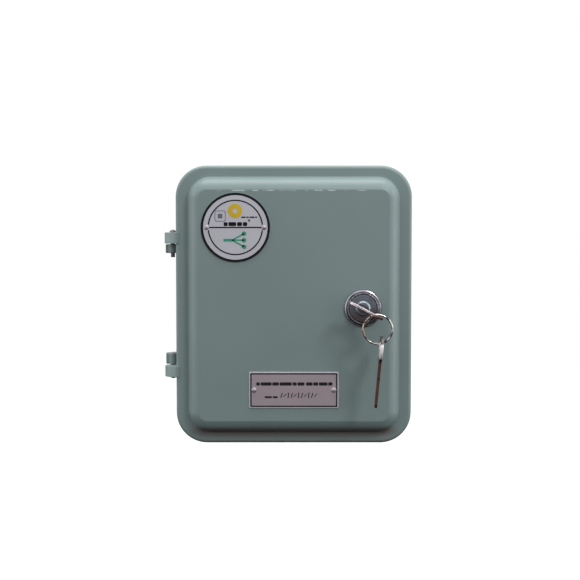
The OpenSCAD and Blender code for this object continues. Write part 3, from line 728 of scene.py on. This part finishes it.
# screw posts: the node of their screws, the node that they carry, and their radius
POSTS = (("tray_screws", "splice_tray", 3.5),
         ("bracket_screws", "adapter_bracket", 4.0),
         ("clamp_screws", "clamp_base", 4.5))
EARTH_POST_R = 5.5
EARTH_POST_Y = -6

# the ledge that the lock's cam turns behind: its reach from the wall, half its height, its
# thickness and its gap to the cam
STRIKE_REACH = 7
STRIKE_HALF = 9
STRIKE_T = 3
STRIKE_GAP = 0.5

# the four wall holes, and the slot in the bottom wall for the cables
WALL_HOLE_X = 50
WALL_HOLE_Z = 60
WALL_HOLE_R = 2.5
CABLE_SLOT = (81, 23)
CABLE_SLOT_R = 4
CABLE_SLOT_Y = -25


def box_loop(inset, y):
    """The box wall's outline at depth y, with its edge moved inwards by inset."""
    return case_loop(RIM_OVER + inset, y)


def box_shell():
    """The box's wall, from the middle of its floor over the tongue and the rim to its back."""
    tongue_y = BOX_LOW.y
    floor_r = 2
    back_r = 3
    floor = edge_arc(WALL + floor_r, -WALL - floor_r, floor_r, 270, 180, 5)
    tongue = [(WALL, tongue_y + TONGUE_BEVEL), (WALL - TONGUE_BEVEL, tongue_y),
              (WALL - TONGUE_OUT + TONGUE_BEVEL, tongue_y),
              (WALL - TONGUE_OUT, tongue_y + TONGUE_BEVEL), (WALL - TONGUE_OUT, PARTING_Y)]
    rim = [(0.6, PARTING_Y)]
    rim += edge_arc(0.6, PARTING_Y + 0.6, 0.6, 90, 180, 3)
    rim += edge_arc(1.2, PARTING_Y + 2.8, 1.2, 180, 270, 4)
    rim.append((RIM_OVER - 0.4, PARTING_Y + 4))
    back = [(0, PARTING_Y + 4.8)] + edge_arc(back_r, -back_r, back_r, 180, 270, 6)
    loops = [box_loop(WALL + 8, -WALL)]
    loops += [box_loop(inset, y) for inset, y in floor + tongue]
    loops += [case_loop(inset, y) for inset, y in rim]
    loops += [box_loop(inset, y) for inset, y in back]
    bm = bmesh.new()
    add_loft(bm, loops)
    return bm


def add_post(bm, spot, r, top_y):
    """A screw post with a flared root, from just inside the box's floor to a depth."""
    floor_y = -WALL + 0.2
    tall = floor_y - top_y
    bevel = 0.4
    root = [(r + 1.9, 0), (r + 0.9, 0.5), (r + 0.4, 1.4), (r + 0.1, 2.6)]
    profile = [(root_r, h) for root_r, h in root if h < tall - 0.6]
    profile += [(r, tall - bevel), (r - bevel, tall)]
    post = bmesh.new()
    add_lathe(post, profile, 32)
    post.transform(stood_up(spot.x, floor_y, spot.z))
    merge(bm, post)


def node_centres(node):
    """Middle of each separate solid of a CAD node, in millimetres."""
    bm = bmesh.new()
    bm.from_mesh(NODES[node].data)
    bmesh.ops.remove_doubles(bm, verts=bm.verts, dist=WELD_M)
    seen = set()
    middles = []
    for start in bm.verts:
        if start in seen:
            continue
        group = []
        stack = [start]
        seen.add(start)
        while stack:
            vert = stack.pop()
            group.append(vert.co.copy())
            for edge in vert.link_edges:
                other = edge.other_vert(vert)
                if other not in seen:
                    seen.add(other)
                    stack.append(other)
        low = Vector([min(p[i] for p in group) for i in range(3)])
        high = Vector([max(p[i] for p in group) for i in range(3)])
        middles.append(in_mm((low + high) / 2))
    bm.free()
    return middles


def add_box_lugs(bm):
    """The box's hinge lugs, each just below a door lug or just above one."""
    outer_x = HINGE.x - LUG_OUT
    inner_x = -CASE_W / 2 + RIM_OVER + 1
    root_y = HINGE.y + 7
    outline = arc((HINGE.x, HINGE.y), KNUCKLE_R, -180, 0, 10)
    outline += [(inner_x, HINGE.y), (inner_x, root_y), (HINGE.x, root_y),
                (outer_x, HINGE.y + 2.5), (outer_x, HINGE.y)]
    top = door_lug_span()[0] - GAP
    for z_low, z_high in ((top - UPPER_LUG_H, top), (-top, LOWER_LUG_H - top)):
        lug = bmesh.new()
        add_prism(lug, outline, z_low, z_high)
        soften(lug, 0.7, 3, 40)
        merge(bm, lug)


def add_strike(bm):
    """The ledge that the lock's cam turns behind, thicker towards the wall."""
    back_y = in_mm(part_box("lock_cam")[0]).y - STRIKE_GAP
    wall_x = CASE_W / 2 - RIM_OVER - WALL
    tip_x = wall_x - STRIKE_REACH
    front_y = back_y - STRIKE_T
    outline = [(tip_x, back_y), (wall_x + 1, back_y), (wall_x + 1, front_y - 2.5),
               (tip_x + 1, front_y), (tip_x, front_y)]
    ledge = bmesh.new()
    add_prism(ledge, outline[::-1], LOCK.z - STRIKE_HALF, LOCK.z + STRIKE_HALF)
    soften(ledge, 0.5, 3, 40)
    merge(bm, ledge)


def cable_slot():
    """The tool that opens the bottom wall under the gland plate."""
    tool = bmesh.new()
    add_prism(tool, round_rect(*CABLE_SLOT, CABLE_SLOT_R), BOX_LOW.z - 5, BOX_LOW.z + 8)
    tool.transform(Matrix.Translation((0, CABLE_SLOT_Y, 0)))
    return tool


def build_box():
    """The cast box, with its lugs, ledge, posts, wall holes and cable slot."""
    bm = box_shell()
    add_box_lugs(bm)
    add_strike(bm)
    for screws, carried, radius in POSTS:
        top_y = in_mm(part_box(carried)[1]).y
        for spot in node_centres(screws):
            add_post(bm, spot, radius, top_y)
    add_post(bm, node_centres("earth_stud")[0], EARTH_POST_R, EARTH_POST_Y)
    cuts = []
    for x in (-WALL_HOLE_X, WALL_HOLE_X):
        for z in (-WALL_HOLE_Z, WALL_HOLE_Z):
            cuts.append(bore_tool(x, 0, z, WALL_HOLE_R, 12))
    cuts.append(cable_slot())
    put("box_casting", bm, MAT["case_paint"], "case", ["back_box"], cuts=cuts)


# ---------------------------------------------------------------- plates

# the plates, and the ink's thickness, its edge and how far it is sunk into a plate
PLATE_T = 0.5
PRINT_T = 0.06
PRINT_EDGE = 0.01
PRINT_SUNK = 0.005


def put_print(name, colour, shapes, plate_front):
    """Ink on a plate. Each shape is a list of outlines: its edge, then its holes. They are
    measured from a point at the middle of the plate's front."""
    bm = bmesh.new()
    for outlines in shapes:
        merge(bm, curve_plate(outlines, PRINT_T, PRINT_EDGE, 0))
    x, y, z = plate_front
    place = stood_up(x, y - PRINT_T / 2 + PRINT_SUNK, z)
    put(name, bm, INK[colour], "door", place=place)


def moved(outline, x, y):
    """An outline moved in its plane."""
    return [(px + x, py + y) for px, py in outline]


def bar(x, y, w, h, r=None):
    """A rounded bar round a point."""
    r = min(w, h) * 0.3 if r is None else r
    return [moved(round_rect(w, h, r, 3), x, y)]


def slanted(x, y, h, lean, w):
    """An upright bar round a point, with its top moved over by the lean and its foot back."""
    half = h / 2
    return [[(x - lean - w / 2, y - half), (x - lean + w / 2, y - half),
             (x + lean + w / 2, y + half), (x + lean - w / 2, y + half)]]


def stroke(start, end, w):
    """A bar of a width between two points."""
    (x0, y0), (x1, y1) = start, end
    length = math.hypot(x1 - x0, y1 - y0)
    nx = -(y1 - y0) / length * w / 2
    ny = (x1 - x0) / length * w / 2
    return [[(x0 + nx, y0 + ny), (x0 - nx, y0 - ny), (x1 - nx, y1 - ny), (x1 + nx, y1 + ny)]]


def ring_arc(r, w, start, end):
    """A band of a width along an arc."""
    outer = arc((0, 0), r + w / 2, start, end, 48)
    inner = arc((0, 0), r - w / 2, end, start, 48)
    return [outer + inner]


def word_bars(x, y, height, widths, gap):
    """A row of plain blocks where a line of words would be, from its left end."""
    shapes = []
    for width in widths:
        shapes.append(bar(x + width / 2, y, width, height))
        x += width + gap
    return shapes


def branching_line(x, y):
    """A stem that splits at a point into three branches, each with a dot on its end."""
    shapes = [bar(x - 2.5, y, 5.4, 1.7, 0.5)]
    for rise in (3.9, 0, -3.9):
        end = (x + 7.2, y + rise)
        shapes.append(stroke((x, y), end, 0.95))
        shapes.append([circle(1.4, 24, end)])
    return shapes


def build_round_plate():
    """The round plate: a black rim and inner ring cut by a bar, a framed square, a yellow
    ring, rows of blocks and a branching line."""
    slot = "round_plate_metal"
    mid = (PLATE_LOW + PLATE_HIGH) / 2
    r = (PLATE_HIGH.x - PLATE_LOW.x) / 2
    bm = curve_plate([circle(r, 96)], PLATE_T, 0.12, 2)
    put("round_label", bm, MAT[slot], "door", ["round_plate"], place=stood_up(*mid))
    front = (mid.x, PLATE_LOW.y, mid.z)
    rim = [circle(r - 0.02, 96), circle(r - 1.45, 96)[::-1]]
    black = [rim, ring_arc(16.2, 0.8, 6, 174), ring_arc(16.2, 0.8, 186, 354),
             bar(0, 0, 31.4, 0.8, 0.1)]
    black += word_bars(-7.0, 2.0, 2.4, [2.4, 4.6, 3.0, 2.6], 0.5)
    black += word_bars(3.6, 6.1, 0.85, [2.6, 1.4, 3.0, 1.2], 0.4)
    put_print("round_label_black", "black", black, front)
    square_at = (-9.1, 6.8)
    frame_out = moved(round_rect(6.6, 6.6, 1.2, 4), *square_at)
    frame_in = moved(round_rect(5.8, 5.8, 0.9, 4), *square_at)
    dot = [circle(0.8, 20, (8.2, 4.2))]
    grey = [[frame_out, frame_in[::-1]], bar(*square_at, 2.8, 2.8, 0.4), dot]
    put_print("round_label_grey", "grey", grey, front)
    yellow_at = (-0.2, 9.9)
    yellow = [circle(4.3, 48, yellow_at), circle(1.5, 24, yellow_at)[::-1]]
    put_print("round_label_yellow", "yellow", [yellow], front)
    put_print("round_label_green", "green", branching_line(-2.0, -7.6), front)


def build_name_plate():
    """The lower plate: a printed field and border, two rows of blocks and slanted strokes."""
    slot = "name_plate_metal"
    mid = (NAME_LOW + NAME_HIGH) / 2
    w = NAME_HIGH.x - NAME_LOW.x
    h = NAME_HIGH.z - NAME_LOW.z
    bm = curve_plate([round_rect(w, h, 0.8, 6)], PLATE_T, 0.24, 3)
    put("name_label", bm, MAT[slot], "door", ["name_plate"], place=stood_up(*mid))
    field = [round_rect(w - 2.2, h - 2.2, 0.3, 3)]
    under_marks = (mid.x, NAME_LOW.y + PRINT_T / 3, mid.z)
    put_print("name_label_field", "rose", [field], under_marks)
    border = [round_rect(w - 1.5, h - 1.5, 0.4, 3), round_rect(w - 3.2, h - 3.2, 0.2, 3)[::-1]]
    marks = [border]
    marks += word_bars(-22.6, 3.7, 2.0, [2.2, 6.6, 4.0, 7.4, 2.6, 4.2], 0.4)
    marks += word_bars(7.3, 3.7, 2.0, [4.0, 3.0, 5.2, 2.6], 0.4)
    marks += word_bars(-17.6, -4.3, 1.2, [4.4, 3.0], 0.5)
    strokes = ((3.0, 0.5), (2.0, 0.9), (3.4, 0.2))
    for i in range(11):
        tall, lean = strokes[i % len(strokes)]
        marks.append(slanted(-7.4 + 2.05 * i, -3.2, tall, lean, 0.6))
    put_print("name_label_marks", "line", marks, (mid.x, NAME_LOW.y, mid.z))


# ---------------------------------------------------------------- lock

# how far the keyway is turned from level, in degrees
KEY_FALL = 28

# the lock's own frame: X along the keyway, and Z out of the panel from 0 at its face
LOCK_FRAME = (stood_up(LOCK.x, PANEL_Y, LOCK.z)
              @ Matrix.Rotation(math.radians(-KEY_FALL), 4, "Z"))

BARREL_L = 25
BARREL_BORE_R = 6.1
THREAD_TURNS = 19
THREAD_PITCH = 1.0
THREAD_ROOT_R = 8.55
THREAD_R = 8.95


def build_lock_barrel():
    """The threaded barrel, with a bezel that steps up to a rolled inner rim."""
    thread = []
    for i in range(THREAD_TURNS):
        height = THREAD_PITCH * i - BARREL_L
        thread += [(THREAD_ROOT_R, height + 1.6), (THREAD_R, height + 2.0)]
    profile = [(BARREL_BORE_R, -BARREL_L), (8.5, -BARREL_L), (THREAD_R, 0.5 - BARREL_L)] + thread
    profile += [(9.0, -4.2), (9.0, -0.05), (11.05, -0.05), (11.2, 0.15), (11.2, 0.9), (11.1, 1.15),
                (10.9, 1.3), (10.5, 1.35), (10.1, 1.6), (9.8, 2.0), (9.6, 2.45), (9.4, 2.72),
                (9.1, 2.78), (8.85, 2.6), (8.7, 2.3), (8.55, 2.1), (8.5, 0.6), (BARREL_BORE_R, 0.6)]
    bm = bmesh.new()
    add_lathe(bm, profile, 96, closed=True)
    put("lock_bezel", bm, MAT["lock_chrome"], "door", ["lock_barrel"],
        place=LOCK_FRAME, sharp=50)


def build_lock_plug():
    """The plug: a core in the barrel, a face with a boss, a square tang for the cam behind,
    and the keyway with its wider mouth."""
    bm = bmesh.new()
    profile = [(0, -BARREL_L), (5.6, -BARREL_L), (5.95, 0.4 - BARREL_L), (5.95, 0.8), (8.1, 0.85),
               (8.35, 1.1), (8.38, 1.75), (8.2, 2.02), (7.7, 2.1), (5.2, 2.0), (4.5, 2.05),
               (4.25, 2.3), (4.15, 2.75), (BOSS_R, 2.95), (0, 3.0)]
    add_lathe(bm, profile, 72)
    tang = bmesh.new()
    add_block(tang, (-3, -3, -2.4 - BARREL_L), (3, 3, 0.5 - BARREL_L))
    soften(tang, 0.3)
    merge(bm, tang)
    keyway = bmesh.new()
    add_block(keyway, (-3.5, -1.0, -15), (3.5, 1.0, 5))
    mouth = bmesh.new()
    add_block(mouth, (-3.7, -1.7, 0.4), (3.7, 1.7, 5))
    cuts = [keyway, mouth]
    for tool in cuts:
        tool.transform(LOCK_FRAME)
    put("lock_core_face", bm, MAT["lock_face"], "lock_core", ["lock_plug"],
        place=LOCK_FRAME, cuts=cuts)


# ---------------------------------------------------------------- keys

# sizes along the key are measured from the tip of its blade, and every other notch is deeper
KEY_T = 1.5
KEY_EDGE = 0.28
TIP_HALF = 1.5
TIP_L = 2.0
BLADE_L = 17.5
BLADE_HALF = 3.2
NOTCHES = 4
NOTCH_FIRST = 4
NOTCH_PITCH = 3
NOTCH_DEEP = 0.7
NOTCH_DEEPER = 0.35
SHOULDER = 0.6
NECK_L = 10.0
NECK_HALF = 4.0
BOW_W = 22.5
BOW_L = 14.0
BOW_R = 6.0
EYE_W = 17.4
EYE_H = 5.4
EYE_AT = 36.2
GROOVE_L = 24
GROOVE_DEEP = 0.35

# how far in front of the panel the blade ends on the key in the lock
KEY_OUT = 3.3

# the spare key's place by the ring's lowest point: how far it is to the right, how far the top
# of its eye is above the point, and its turns about Z and Y in degrees
HANG_SIDE = 2.4
HANG_LIFT = 1.6
HANG_YAW = -3
HANG_TILT = 5.2


def key_outline():
    """The key's edge, anticlockwise from its tip, with the tip down and the cuts on the right."""
    w = BLADE_HALF
    blade = [(-TIP_HALF, 0), (TIP_HALF, 0), (w, TIP_L)]
    for i in range(NOTCHES):
        y = NOTCH_FIRST + NOTCH_PITCH * i
        depth = NOTCH_DEEP + NOTCH_DEEPER * (i % 2)
        blade += [(w, y - 0.9), (w - depth, y - 0.2), (w - depth, y + 0.2), (w, y + 0.9)]
    neck_top = BLADE_L + NECK_L
    neck = [(w, BLADE_L - SHOULDER), (w + SHOULDER, BLADE_L), (NECK_HALF, BLADE_L + 0.2),
            (NECK_HALF, neck_top - 1.2), (NECK_HALF + 0.5, neck_top - 0.3),
            (NECK_HALF + 1.3, neck_top)]
    middle = neck_top + BOW_L / 2
    bow = []
    for sx, sy, start in ((1, -1, 270), (1, 1, 0), (-1, 1, 90), (-1, -1, 180)):
        centre = (sx * (BOW_W / 2 - BOW_R), middle + sy * (BOW_L / 2 - BOW_R))
        bow += arc(centre, BOW_R, start, start + 90, 8)
    other_side = [(-x, y) for x, y in neck[::-1]]
    return blade + neck + bow + other_side + [(-w, TIP_L)]


def key_mesh():
    """A flat key in the XY plane, with its eye."""
    eye = moved(round_rect(EYE_W, EYE_H, EYE_H / 2 - 0.01, 8), 0, EYE_AT)
    return curve_plate([key_outline(), eye[::-1]], KEY_T, KEY_EDGE, 3)


def groove_tools(place):
    """The tools that mill a groove along each side of the blade."""
    tools = []
    floor = KEY_T / 2 - GROOVE_DEEP
    for side in (-1, 1):
        tool = bmesh.new()
        add_block(tool, (side * 0.6 - 1.2, 0.5, floor), (side * 0.6 + 0.2, GROOVE_L, KEY_T))
        if side < 0:
            tool.transform(Matrix.Rotation(math.pi, 4, "Y"))
        tool.transform(place)
        tools.append(tool)
    return tools


def build_keys():
    """The key in the lock, and the spare key, which hangs edge-on from the ring."""
    place = LOCK_FRAME @ stood_up(0, 0, KEY_OUT - BLADE_L)
    put("lock_key", key_mesh(), MAT["key_nickel"], "door_key", ["door_key"],
        place=place, cuts=groove_tools(place))
    hang = (Matrix.Translation((RING_LOW.x + HANG_SIDE, RING_LOW.y, RING_LOW.z))
            @ Matrix.Rotation(math.radians(HANG_YAW), 4, "Z")
            @ Matrix.Rotation(math.radians(HANG_TILT), 4, "Y")
            @ Matrix.Translation((0, 0, HANG_LIFT - EYE_AT - EYE_H / 2))
            @ Matrix.Rotation(math.pi / 2, 4, "Z")
            @ Matrix.Rotation(math.pi / 2, 4, "X"))
    put("hanging_key", key_mesh(), MAT["spare_key_metal"], "spare_key",
        ["spare_key"], place=hang, cuts=groove_tools(hang))


# ---------------------------------------------------------------- ring

# the wire's radius, how far each turn is from the ring's middle plane, and its path's steps
WIRE_R = 0.58
WIRE_STEP = 0.62
RING_STEPS = 144

# degrees along the wire: all of it, where it starts round the ring, and where it crosses over
RING_DEGREES = 720
RING_START = 130
CROSS_AT = 330
CROSS_DEGREES = 60

# how far inside the ring the wire's first end lies, and the degrees it takes to open out
START_INSET = 1.5
START_DEGREES = 55


def build_ring():
    """A split ring: two turns of spring wire side by side, with a step where they cross over.
    The first turn starts a little inside the ring and opens out to it."""
    centre = (RING_TOP + RING_LOW) / 2
    radius = (RING_TOP.z - RING_LOW.z) / 2
    path = []
    for i in range(RING_STEPS + 1):
        a = RING_DEGREES * i / RING_STEPS
        cross = min(max((a - CROSS_AT) / CROSS_DEGREES, 0), 1)
        cross = cross * cross * (3 - 2 * cross)
        r = radius - START_INSET * max(0, 1 - a / START_DEGREES)
        angle = math.radians(a + RING_START)
        side = WIRE_STEP * (1 - 2 * cross)
        path.append(centre + Vector((r * math.cos(angle), side, r * math.sin(angle))))
    bm = bmesh.new()
    add_tube(bm, path, WIRE_R, 14)
    put("split_ring", bm, MAT["ring_wire"], "key_ring", ["key_ring"], sharp=60)


build_door()
build_gasket()
build_box()
build_round_plate()
build_name_plate()
build_lock_barrel()
build_lock_plug()
build_keys()
build_ring()

# ---------------------------------------------------------------- the other CAD pieces

REBUILT = {"door_shell", "door_gasket", "back_box", "round_plate", "name_plate", "lock_barrel",
           "lock_plug", "door_key", "spare_key", "key_ring"}
SLOT_OF = {row["node"]: row["material_slot"] for row in frame["record"]["subparts"]}
BROKEN_EDGE = 0.2


def finish_cad(node, material):
    """Keeps a CAD node, with its edges broken and its own material."""
    obj = NODES[node]
    weld = obj.modifiers.new("weld", "WELD")
    weld.merge_threshold = WELD_M
    bevel = obj.modifiers.new("edge", "BEVEL")
    bevel.width = BROKEN_EDGE * MM
    bevel.segments = 2
    bevel.limit_method = "ANGLE"
    bevel.angle_limit = math.radians(40)
    bevel.harden_normals = True
    obj.data.materials.clear()
    obj.data.materials.append(material)


for node in NODES:
    if node not in REBUILT:
        finish_cad(node, MAT[SLOT_OF[node]])


# ---------------------------------------------------------------- stage, light and camera

# the floor's half width, its top face's height and its thickness
FLOOR_HALF = 30000
FLOOR_TOP = -350
FLOOR_T = 10

# the sky's colours by height, from 0 straight down to 1 straight up
SKY_BELOW = (0.010, 0.008, 0.008)
SKY_ABOVE = (1.0, 1.0, 1.0)
SKY_BETWEEN = ((0.33, (0.045, 0.040, 0.038)),
               (0.43, (0.35, 0.34, 0.34)),
               (0.492, (1.0, 1.0, 1.0)))
SKY_STRENGTH = 1.02

# lights: name, place and size in metres, and power in watts
SOFTBOXES = (("top_light", (0, -0.12, 0.9), (0.9, 0.3), 8),
             ("left_light", (-0.9, -0.16, 0.2), (0.3, 0.8), 2.6),
             ("right_light", (0.9, -0.16, 0.2), (0.3, 0.8), 3.6),
             ("front_light", (-0.5, -1.0, -0.1), (0.9, 0.7), 0.4),
             ("key_light", (0.50, -0.80, 0.70), (0.22, 0.22), 4.4))
LIGHT_AIM = Vector((0, -0.06, 0))

# the camera: the point it looks at and its distance in metres, and its lens in millimetres
CAMERA_AIM = Vector((-0.0023, FLANGE_Y * MM, 0.0092))
CAMERA_AWAY = 0.600
CAMERA_ELEVATION = math.radians(2.5)
CAMERA_LENS = 61.0


def build_floor():
    """A wide pale floor under the part. It adds no light or shadow of its own."""
    bm = bmesh.new()
    add_block(bm, (-FLOOR_HALF, -FLOOR_HALF, FLOOR_TOP - FLOOR_T),
              (FLOOR_HALF, FLOOR_HALF, FLOOR_TOP))
    floor = new_object("floor", bm)
    recipe = Recipe("floor_white", (0.985, 0.985, 0.985), 0.9)
    recipe.mottle(3, 0.01)
    floor.data.materials.append(recipe.material)
    floor.visible_diffuse = False
    floor.visible_glossy = False
    floor.visible_shadow = False


def build_world():
    """A studio's sky: white above the horizon, and dark below."""
    world = bpy.data.worlds.new("studio")
    bpy.context.scene.world = world
    world.use_nodes = True
    nodes = world.node_tree.nodes
    links = world.node_tree.links
    background = nodes["Background"]
    split = nodes.new("ShaderNodeSeparateXYZ")
    links.new(nodes.new("ShaderNodeTexCoord").outputs["Generated"], split.inputs["Vector"])
    ramp = nodes.new("ShaderNodeValToRGB")
    turn = nodes.new("ShaderNodeMapRange")
    turn.inputs["From Min"].default_value = -1
    turn.inputs["From Max"].default_value = 1
    links.new(split.outputs["Z"], turn.inputs["Value"])
    links.new(turn.outputs["Result"], ramp.inputs["Fac"])
    stops = ramp.color_ramp.elements
    stops[0].color = (*SKY_BELOW, 1)
    stops[1].color = (*SKY_ABOVE, 1)
    for position, colour in SKY_BETWEEN:
        stop = stops.new(position)
        stop.color = (*colour, 1)
    links.new(ramp.outputs["Color"], background.inputs["Color"])
    background.inputs["Strength"].default_value = SKY_STRENGTH


def add_softbox(name, place, size, power):
    """A rectangular light that faces the door."""
    light = bpy.data.lights.new(name, "AREA")
    light.shape = "RECTANGLE"
    light.size, light.size_y = size
    light.energy = power
    lamp = bpy.data.objects.new(name, light)
    lamp.location = place
    lamp.rotation_euler = (LIGHT_AIM - Vector(place)).to_track_quat("-Z", "Y").to_euler()
    bpy.context.scene.collection.objects.link(lamp)


def build_camera():
    """A camera in front of the door and slightly above it."""
    data = bpy.data.cameras.new("camera")
    camera = bpy.data.objects.new("camera", data)
    bpy.context.scene.collection.objects.link(camera)
    data.lens = CAMERA_LENS
    data.sensor_width = 36
    back = Vector((0, -math.cos(CAMERA_ELEVATION), math.sin(CAMERA_ELEVATION)))
    camera.location = CAMERA_AIM + back * CAMERA_AWAY
    camera.rotation_euler = (-back).to_track_quat("-Z", "Y").to_euler()
    bpy.context.scene.camera = camera


build_floor()
build_world()
for softbox in SOFTBOXES:
    add_softbox(*softbox)
build_camera()
bpy.context.scene.view_settings.view_transform = "Standard"
